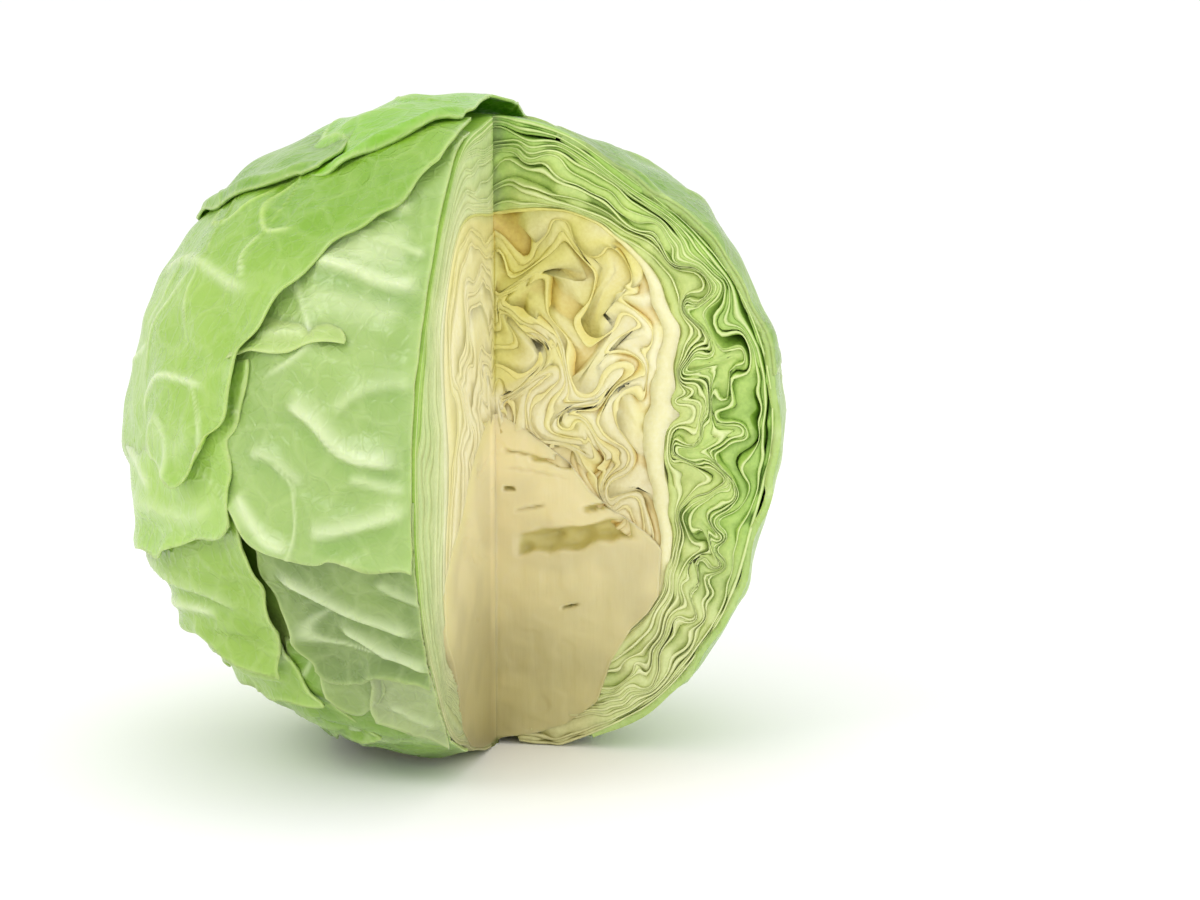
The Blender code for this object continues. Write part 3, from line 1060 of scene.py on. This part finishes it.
def leaf_tint(leaf, rays, pale, dark):
    """The leaf's green: duller at the foot, there partly painted shade, and at the crown; pale on ridges,
    partly a painted highlight, and along the border; with a painted shadow under high ridges.
    """
    up = rays[..., 2]
    foot_factor = leaf.get("foot_factor", 1) ** smooth((0.1 - up) / 0.7)
    # A foot_factor below 1 is a painted shade towards the foot; dark is a painted shadow under high ridges.
    tint = toned(np.array(leaf["colour"]) * foot_factor[..., None], (0.66, 0.80, 0.55), 0.9 * dark)
    tint = mix(tint, RIDGE_PALE_AND_HIGHLIGHT, 0.8 * np.minimum(pale, 1))
    tint = toned(tint, (0.70, 0.82, 0.40), leaf.get("crown", 1) * smooth((up - 0.45) / 0.35))
    tint = mix(tint, FOOT_PALE, leaf.get("pale_foot", 0.25) * smooth((-up - 0.55) / 0.4))
    border = np.min(list(border_distances(rays).values()), axis=0)
    return mix(tint, BORDER_PALE, 0.45 * np.exp(-(border / (0.9 * MM)) ** 2)).reshape(-1, 3)


def leaf_mesh(leaf):
    """Points, faces, no cut faces, and tints of one outer leaf, a thin shell with an edge all round."""
    across, along = leaf["grid"]
    rays = patch(leaf, across, along)
    drift = np.stack([noise(rays * SIDE, field) for field in BORDER_DRIFT], axis=-1)
    rays = unit(rays + 0.9 * MM / SIDE * drift * smooth(from_quarter(rays * SIDE) / (5 * MM))[..., None])
    height, pale, dark = leaf_relief(leaf, rays)
    radius = reach(rays[..., 2]) * leaf["layer"] + height
    thickness = leaf.get("thickness", 0.9) * MM
    sides = [CENTRE + rays * (radius - inward)[..., None] for inward in (0, thickness)]
    points = np.concatenate([side.reshape(-1, 3) for side in sides])
    if "cut" in leaf:
        points = behind_cuts(points, leaf["cut"] * MM)
    points[:, 2] = np.maximum(points[:, 2], 0.3 * MM)
    numbers = np.arange(2 * across * along).reshape(2, along, across)
    faces = []
    for row in range(along - 1):
        faces += strip(numbers[0, row], numbers[0, row + 1])
        faces += strip(numbers[1, row + 1], numbers[1, row])
    loops = [
        np.concatenate((side[0], side[1:, -1], side[-1, -2::-1], side[-2::-1, 0])) for side in numbers
    ]
    faces += strip(loops[1], loops[0])
    return points, facing_out(points, faces), [], np.tile(leaf_tint(leaf, rays, pale, dark), (2, 1))


def build_wrapper(name, leaves, material):
    """One piece for a CAD wrapper leaf, of one or more overlapping leaves."""
    points, faces, _, tints = joined([leaf_mesh(leaf) for leaf in leaves])
    new_piece(name, points, faces, tints, [material])


def cut_border(side, heights):
    """Headings and heights just past one cut face, at the outline: the left cut is 0, the right 1."""
    heights = np.asarray(heights, dtype=float)
    if side == 1:
        return np.column_stack((0 * heights - CUT_OVERLAP, heights))
    past = np.degrees(np.arcsin(np.minimum(CUT_X / (np.cos(np.radians(heights)) * SIDE), 1)))
    return np.column_stack((CUT_OVERLAP + TURN + past, heights))


LEFT_CUT_HIGH = cut_border(0, (-15, 5, 25, 45, 60, 72))
LEFT_CUT_LOW = cut_border(0, (-39, -28, -15, -4))
FOOT_CUT = cut_border(0, (-56, -46, -36))

# The outer leaves. Directions are (heading, height) in degrees, lengths are in millimetres.
#   middle      the direction round which the leaf is laid out
#   layer       its size as a share of the outline
#   seed, grid  of its random waves, and its points across and along
#   cut         how far it is kept behind the cut faces, if it reaches them
#   thickness   of the leaf, and vein: how wide its faint wandering veins are
# colour      its green, dulled by crown at the top and times foot_factor at the foot (a painted shade
#             where below 1), where pale_foot of a pale colour is mixed in
#   bottom, right, top, left   its borders, drawn left to right or bottom to top
#   edges       for each border: the lift at its start, the lift at its end if that is another,
#               and how far in it reaches; bottom_calm is the share of the bottom before it changes
#   ridges      each a path, a lift, the width above it, the width below if another, and a paleness, partly a painted highlight
UPPER_LEFT = {
    "middle": (212, 24), "layer": 0.985, "seed": 51, "grid": (200, 148), "cut": 0.5,
    "colour": (0.29, 0.48, 0.065), "crown": 1.25, "foot_factor": 1.12, "bottom_calm": 0.6,
    "bottom": [(150, -10), (185, -8), (207, -4), (222, 0), (228, -2), (233, -4), (237, -2), (240, 2)],
    "right": [
        (240, 2), (244, 9), (245, 17), (249, 24), (253, 32), (259, 39), (271, 49), (283, 61), (296, 73),
    ],
    "top": [(150, 52), (185, 68), (225, 82), (296, 73)],
    "left": [(150, -12), (147, 20), (150, 52)],
    "edges": {"right": (2.4, 1.4, 5), "bottom": (-2.2, 3.2, 5), "top": (-3.6, -2, 26), "left": (-1.4, 10)},
    "ridges": [
        ([(188, 26), (203, 32), (222, 33), (238, 30), (247, 29)], 1.2, 2.2, 0.8),
        ([(222, 33), (214, 26), (209, 17), (214, 9)], 0.7, 1.1, 0.9),
        ([(203, 45), (211, 41), (222, 42), (226, 48), (224, 54)], 0.7, 1.1, 1),
        ([(233, 55), (232, 46), (238, 41), (249, 42)], 0.7, 1.1, 1),
        ([(238, 41), (236, 35), (240, 31)], 0.7, 1.1, 0.9),
        ([(216, 2), (215, 7), (221, 12), (232, 13), (240, 12)], 0.8, 1.2, 1),
        ([(190, 10), (200, 14), (209, 17)], 0.6, 1.2, 0.8),
        ([(218, 0), (224, 3), (233, 2), (238, 6)], 1.2, 5, 0.3),
    ],
}
LOWER_LEFT = {
    "middle": (215, -8), "layer": 0.971, "seed": 61, "grid": (90, 50), "colour": (0.33, 0.53, 0.09),
    "bottom": [(152, -21), (178, -20), (198, -19), (217, -18), (236, -14), (244, -10)],
    "right": [(244, -10), (244, -4), (244, 3), (245, 10), (246, 17)],
    "top": [(152, 10), (200, 14), (230, 16), (246, 17)],
    "left": [(152, -21), (149, -6), (152, 10)],
    "edges": {"right": (2.2, 1.2, 4), "bottom": (1.6, 2.4, 4), "top": (-0.6, 10), "left": (-1.4, 9)},
    "ridges": [
        ([(190, -2), (206, -4), (222, -7)], 1, 2.4, 0.8),
        ([(206, -10), (222, -10), (236, -9), (243, -4)], 1.2, 3, 0.4),
        ([(205, -15), (222, -14), (240, -13)], -0.8, 2.4, 0),
    ],
}
FRONT = {
    "middle": (262, 22), "layer": 0.968, "seed": 52, "grid": (92, 130), "cut": 0.25,
    "colour": (0.305, 0.455, 0.125), "crown": 0.25,
    "bottom": [(240, -6), (245, -8), (249, -12), (256, -14), (266, -14), LEFT_CUT_HIGH[0]],
    "right": LEFT_CUT_HIGH,
    "top": [(240, 66), (262, 75), LEFT_CUT_HIGH[-1]],
    "left": [(240, -6), (236, 12), (240, 32), (242, 48), (240, 66)],
    "edges": {"left": (-0.6, -2.2, 9), "bottom": (2.6, 2.2, 4), "top": (-2.6, 20)},
    "ridges": [
        ([(253, 36), (262, 35), (270, 33), (279, 32)], 2.4, 4.8, 1.8, 1),
        ([(253, 12), (259, 9), (265, 4), (277, 2)], 3, 5.2, 1.4, 0.95),
        ([(263, 9), (267, 13), (272, 15), (279, 15)], 1.5, 4, 1.2, 0.4),
        ([(248, 38), (256, 39), (266, 40), (277, 41)], 0.6, 9, 0.75),
        ([(252, 29), (262, 29), (276, 27)], 0.5, 6, 0.45),
        ([(247, 3), (253, 2), (258, -3)], 1.6, 3, 1.4, 0.6),
        ([(245, -3), (247, -7), (251, -11), (257, -13)], 1.4, 2.4, 1),
        ([(258, -10), (268, -8), (278, -4)], 1.8, 3.5, 1.8, 0.85),
        ([(266, 0), (272, -1), (277, -2)], 1, 2.5, 1.6, 0.6),
        ([(256, 47), (265, 49), (275, 47)], 1.4, 3, 1.6, 0.7),
        ([(258, 58), (266, 60), (276, 58)], 1.2, 3, 1.6, 0.7),
        ([(264, 42), (270, 41), (279, 39)], 1.2, 2, 1.4, 0.7),
        ([(254, -1), (262, -3), (270, -4)], -1.6, 3, 0),
        ([(258, 24), (266, 22), (276, 20)], -1.6, 3.5, 0),
    ],
}
TONGUE = {
    "middle": (254, 23), "layer": 0.97, "seed": 62, "grid": (46, 22), "colour": (0.38, 0.52, 0.15),
    "bottom": [(243, 17), (248, 19), (254, 20), (259, 21), (264, 22)],
    "right": [(264, 22), (264, 24), (263, 26)],
    "top": [(242, 27), (250, 28), (257, 28), (263, 26)],
    "left": [(243, 17), (242, 22), (242, 27)],
    "edges": {"bottom": (2.4, 0.8, 3), "top": (-1.2, 4), "right": (-0.8, 3)},
    "ridges": [([(246, 22), (252, 23), (258, 23.5)], 0.8, 2, 0.5)],
}
LOW_FRONT = {
    "middle": (262, -24), "layer": 0.953, "seed": 53, "grid": (84, 84), "cut": 0.25,
    # foot_factor darkens its foot: a painted shade.
    "colour": (0.22, 0.33, 0.085), "foot_factor": 0.72, "pale_foot": 0,
    "bottom": [(252, -38), (257, -40), (263, -40), (269, -37), LEFT_CUT_LOW[0]],
    "right": LEFT_CUT_LOW,
    "top": [(244, -4), (258, -4), LEFT_CUT_LOW[-1]],
    "left": [(252, -38), (251, -33), (249, -26), (247, -19), (247, -12), (244, -4)],
    "edges": {"left": (2, 0, 4), "bottom": (2.2, 4), "top": (-1.2, 10)},
    "ridges": [
        ([(249, -18), (257, -21), (267, -25), (279, -28)], 2.6, 3.4, 1.4, 0.8),
        ([(260, -28), (267, -31), (273, -33), (280, -36)], 2.2, 3.6, 1.4, 0.85),
        ([(249, -9), (254, -11), (260, -13)], 1.2, 4, 3, 0.5),
        ([(270, -17), (275, -20), (279, -22)], 1.6, 2.8, 1.6, 0.5),
    ],
}
FOOT_FRONT = {
    "middle": (260, -55), "layer": 0.945, "seed": 63, "grid": (60, 46), "cut": 0.3,
    "colour": (0.17, 0.32, 0.03), "pale_foot": 0,
    "bottom": [(236, -74), (262, -74), (292, -70)],
    "right": cut_border(0, (-68, -54, -36)),
    "top": [(246, -34), (262, -34), (278, -34)],
    "left": [(236, -74), (240, -54), (246, -34)],
    "edges": {"top": (-1, 8)},
    "ridges": [([(244, -50), (258, -52), (272, -54)], 1.6, 3, 1.4, 0.2)],
}
FOOT_FLAP = {
    "middle": (260, -43), "layer": 0.95, "seed": 64, "grid": (34, 24), "colour": (0.27, 0.37, 0.12),
    "pale_foot": 0,
    "bottom": [(254, -43), (258, -48), (263, -47), (267, -44)],
    "right": [(267, -44), (268, -40), (268, -36)],
    "top": [(252, -35), (260, -35), (268, -36)],
    "left": [(254, -43), (253, -39), (252, -35)],
    "edges": {"bottom": (1.4, 3), "right": (0.8, 0, 3)},
    "ridges": [],
}
FOOT_BASE = {
    "middle": (274, -46), "layer": 0.953, "seed": 65, "grid": (40, 40), "cut": 0.25,
    "colour": (0.31, 0.38, 0.17), "pale_foot": 0.1,
    "bottom": [(265, -49), (271, -51), (276, -53), FOOT_CUT[0]],
    "right": FOOT_CUT,
    "top": [(266, -35), (272, -35), FOOT_CUT[-1]],
    "left": [(265, -49), (265, -42), (266, -35)],
    "edges": {"bottom": (1.6, 3), "left": (1.2, 0, 3)},
    "ridges": [([(268, -44), (273, -47), (280, -50)], 0.9, 2, 0.5)],
}
TOP = {
    "middle": (190, 80), "layer": 0.982, "seed": 54, "grid": (100, 90), "colour": (0.25, 0.53, 0.014),
    "crown": 0.85,
    "bottom": [(236, 55), (243, 54), (255, 60), (271, 66), (285, 71), (298, 76)],
    "right": [(298, 76), (335, 83), (30, 82), (62, 66)],
    "top": [(118, 50), (90, 57), (62, 66)],
    "left": [(236, 55), (205, 60), (160, 58), (118, 50)],
    "edges": {"bottom": (0.6, 4), "right": (0.8, 6), "left": (-0.6, 0.8, 6), "top": (1, 6)},
    "ridges": [
        ([(238, 57), (245, 57), (256, 64), (271, 69), (285, 74), (298, 79)], 2.4, 3.4, 2.6, 0.1),
        ([(215, 60), (222, 72), (250, 82)], 1, 5, 0.2),
        ([(150, 60), (160, 72), (200, 86)], 1.2, 4, 0.4),
        ([(110, 54), (106, 68), (100, 82)], 1.2, 4, 0.4),
    ],
}
TOP_LEFT = {
    "middle": (196, 52), "layer": 0.99, "seed": 66, "grid": (84, 46), "colour": (0.215, 0.405, 0.035),
    "bottom": [(180, 36), (196, 41), (210, 46), (228, 52), (241, 56)],
    "right": [(241, 56), (240, 61), (232, 67), (222, 72)],
    "top": [(148, 52), (165, 62), (190, 70), (222, 72)],
    "left": [(180, 36), (165, 42), (148, 52)],
    "edges": {"bottom": (0.4, 0.8, 3), "right": (1, -1, 4), "top": (-2.2, 10), "left": (0, -1, 5)},
    "ridges": [([(178, 38), (194, 43), (208, 48), (226, 54), (240, 59)], 2, 3.4, 2.4, 0.15)],
}
LEFT_FOOT = {
    "middle": (222, -30), "layer": 0.956, "seed": 55, "grid": (92, 56), "colour": (0.27, 0.44, 0.055),
    "bottom": [(158, -40), (185, -36), (206, -34), (222, -34), (234, -37), (244, -39)],
    "right": [(244, -39), (247, -32), (246, -26), (247, -20), (245, -12), (242, -6)],
    "top": [(154, -10), (185, -10), (215, -8), (242, -6)],
    "left": [(158, -40), (154, -25), (154, -10)],
    "edges": {"right": (2.4, 2, 4), "bottom": (1, 2.4, 4), "top": (-1.2, 9), "left": (-1.2, 9)},
    "ridges": [
        ([(200, -20), (217, -23), (231, -25), (241, -28)], 1.8, 3.4, 1.2, 0.4),
        ([(206, -30), (220, -28), (234, -28)], 1.4, 2, 0.8),
        ([(225, -33), (234, -33), (242, -35)], -1, 2, 0),
    ],
}
LEFT_FOLD = {
    "middle": (222, -42), "layer": 0.95, "seed": 67, "grid": (90, 26), "colour": (0.24, 0.42, 0.04),
    "bottom": [(168, -48), (201, -46), (223, -47), (240, -46), (251, -45)],
    "right": [(251, -45), (248, -40), (245, -35)],
    "top": [(164, -34), (200, -31), (225, -31), (245, -35)],
    "left": [(168, -48), (166, -41), (164, -34)],
    "edges": {"bottom": (2.2, 3), "right": (1.6, 0.4, 3), "top": (-1, 6), "left": (-1, 8)},
    "ridges": [([(198, -40), (216, -41), (234, -41), (246, -42)], 1.4, 2.2, 1.2, 0.3)],
}
LEFT_LAST_FOLD = {
    "middle": (224, -53), "layer": 0.946, "seed": 68, "grid": (90, 34), "colour": (0.19, 0.36, 0.025),
    "pale_foot": 0.08,
    "bottom": [(160, -68), (195, -68), (222, -66), (244, -59), (262, -54)],
    "right": [(262, -54), (256, -50), (250, -44)],
    "top": [(164, -42), (200, -42), (226, -42), (250, -44)],
    "left": [(160, -68), (162, -55), (164, -42)],
    "edges": {"bottom": (0.8, 1.8, 3), "right": (1.6, 0.4, 3), "top": (-1, 6), "left": (-1, 8)},
    "ridges": [
        ([(204, -52), (222, -52), (238, -51), (250, -50)], 1.8, 2.6, 1.2, 0.25),
        ([(208, -60), (226, -58), (242, -55), (254, -53)], 1.6, 2.6, 1.2, 0.25),
    ],
}
RIGHT = {
    "middle": (42, 2), "layer": 0.984, "seed": 56, "grid": (96, 104), "cut": 0.5, "thickness": 2.2,
    "vein": 0.2, "colour": (0.24, 0.43, 0.04),
    "bottom": [(0, -66), (30, -68), (60, -68), (92, -62)],
    "right": [(92, -62), (98, -20), (96, 20), (86, 62)],
    "top": [(0, 70), (40, 74), (86, 62)],
    "left": cut_border(1, (-66, -40, -10, 20, 50, 70)),
    "edges": {"right": (1.8, 7), "top": (-2.6, 16), "bottom": (-0.8, 8)},
    "ridges": [
        ([(46, -66), (46, -30), (44, 5), (42, 40), (40, 62)], 2, 4, 0.9),
        ([(46, -40), (30, -18), (14, 6), (6, 24)], 0.9, 2.4, 0.8),
        ([(46, -16), (30, 10), (18, 32), (10, 48)], 0.9, 2.4, 0.8),
        ([(46, -40), (62, -16), (76, 6), (84, 24)], 0.9, 2.4, 0.8),
        ([(44, -12), (58, 12), (68, 32), (74, 48)], 0.9, 2.4, 0.8),
    ],
}
BACK = {
    "middle": (122, -2), "layer": 0.97, "seed": 57, "grid": (132, 144), "vein": 0.2,
    "colour": (0.27, 0.46, 0.05),
    "bottom": [(82, -76), (110, -78), (140, -78), (168, -74)],
    "right": [(168, -74), (166, -30), (164, 20), (160, 60)],
    "top": [(72, 60), (95, 68), (130, 70), (160, 60)],
    "left": [(82, -76), (76, -30), (74, 20), (72, 60)],
    "edges": {"top": (-1.6, 12), "left": (-1.6, 9), "right": (-1.4, 9)},
    "ridges": [
        ([(122, -76), (122, -40), (121, 0), (120, 40), (120, 60)], 2.2, 4, 0.9),
        ([(122, -44), (140, -20), (152, 4), (158, 26)], 0.9, 2.4, 0.8),
        ([(122, -18), (136, 8), (146, 30), (150, 46)], 0.9, 2.4, 0.8),
        ([(122, -44), (104, -20), (92, 4), (86, 26)], 0.9, 2.4, 0.8),
        ([(121, -14), (108, 12), (98, 32), (94, 46)], 0.9, 2.4, 0.8),
    ],
}
RIGHT_UPPER = {
    "middle": (34, 38), "layer": 0.99, "seed": 69, "grid": (70, 56), "cut": 0.3,
    "colour": (0.21, 0.4, 0.03), "bottom_calm": 0.35,
    "bottom": [(0, 10), (20, 8), (45, 14), (72, 18)],
    "right": [(72, 18), (72, 40), (68, 62)],
    "top": [(0, 64), (30, 70), (68, 62)],
    "left": cut_border(1, (10, 30, 64)),
    "edges": {"bottom": (0, 1.6, 5), "right": (0.3, -1, 6), "top": (-2.4, 14)},
    "ridges": [
        ([(40, 14), (38, 36), (34, 60)], 1.4, 3, 0.6),
        ([(39, 24), (24, 36), (14, 48)], 0.9, 2, 0.7),
        ([(39, 24), (54, 34), (62, 46)], 0.9, 2, 0.7),
    ],
}
WRAPPERS = {
    "wrapper_left": [UPPER_LEFT, LOWER_LEFT],
    "wrapper_front": [FRONT, TONGUE],
    "wrapper_low_front": [LOW_FRONT, FOOT_FRONT, FOOT_FLAP, FOOT_BASE],
    "wrapper_top": [TOP, TOP_LEFT],
    "wrapper_low_left": [LEFT_FOOT, LEFT_FOLD, LEFT_LAST_FOLD],
    "wrapper_right": [RIGHT, RIGHT_UPPER],
    "wrapper_back": [BACK],
}


# ------ studio

# Each light: its name, its place and size in metres, and its power in watts.
LIGHTS = (
    ("key", (-0.55, -0.75, 0.85), 0.5, 2.6),
    ("fill", (0.75, -0.80, 0.45), 0.7, 0.9),
    ("top", (0.05, 0.15, 1.1), 0.7, 1.0),
)

# The camera: where it stands, seen from what it looks at, its lens in millimetres, and how far
# to the right of and below the head's centre it looks, which frames the head as in the photograph.
CAMERA_AZIMUTH = math.radians(12)
CAMERA_ELEVATION = math.radians(10)
CAMERA_DISTANCE = 1.10
CAMERA_LENS = 114
LOOKS_RIGHT = 0.042
LOOKS_DOWN = 0.0046


def build_studio():
    """A plain pale floor, soft light from the upper left and front, and the camera."""
    scene = bpy.context.scene
    scene.view_settings.view_transform = "Standard"
    floor_mesh = bpy.data.meshes.new("floor")
    far = 60 * HEIGHT
    corners = [(-far, -far, 0), (far, -far, 0), (far, far, 0), (-far, far, 0)]
    floor_mesh.from_pydata(corners, [], [(0, 1, 2, 3)])
    floor = bpy.data.objects.new("floor", floor_mesh)
    scene.collection.objects.link(floor)
    paint = Look("floor_pale")
    paint.feed(paint.shader.inputs["Base Color"], (0.97, 0.97, 0.97))
    paint.feed(paint.shader.inputs["Roughness"], 0.9)
    floor_mesh.materials.append(paint.material)

    world = bpy.data.worlds.new("studio")
    scene.world = world
    world.use_nodes = True
    background = world.node_tree.nodes["Background"]
    background.inputs["Color"].default_value = (1, 1, 1, 1)
    background.inputs["Strength"].default_value = 1.05

    for name, place, size, power in LIGHTS:
        add_light(name, place, size, power)
    add_camera()


def add_light(name, place, size, power):
    light = bpy.data.lights.new(name, "AREA")
    light.shape = "DISK"
    light.size = size
    light.energy = power
    lamp = bpy.data.objects.new(name, light)
    bpy.context.scene.collection.objects.link(lamp)
    lamp.location = place
    lamp.rotation_euler = (lamp.location - CENTRE_POINT).to_track_quat("Z", "Y").to_euler()


def add_camera():
    camera = bpy.data.cameras.new("camera")
    camera.lens = CAMERA_LENS
    camera.clip_end = 20
    thing = bpy.data.objects.new("camera", camera)
    bpy.context.scene.collection.objects.link(thing)
    across = Vector((math.cos(CAMERA_AZIMUTH), math.sin(CAMERA_AZIMUTH), 0))
    flat = math.cos(CAMERA_ELEVATION)
    back = Vector((flat * across.y, -flat * across.x, math.sin(CAMERA_ELEVATION)))
    aim = CENTRE_POINT + across * LOOKS_RIGHT - back.cross(across) * LOOKS_DOWN
    thing.location = aim + back * CAMERA_DISTANCE
    thing.rotation_euler = back.to_track_quat("Z", "Y").to_euler()
    bpy.context.scene.camera = thing


# ------ everything


def main():
    build_studio()
    for band, names, seed, tint, slot in (
        (head_band(), HEAD_NODES, 300, head_tint, "head_leaf"),
        (heart_band(), HEART_NODES, 400, heart_tint, "heart_leaf"),
    ):
        materials = [inner_leaf_material(slot + "_face", False), inner_leaf_material(slot + "_cut", True)]
        build_band(band, names, seed, tint, materials)
    build_core(core_material())
    skin = wrapper_material()
    for name, leaves in WRAPPERS.items():
        build_wrapper(name, leaves, skin)


main()
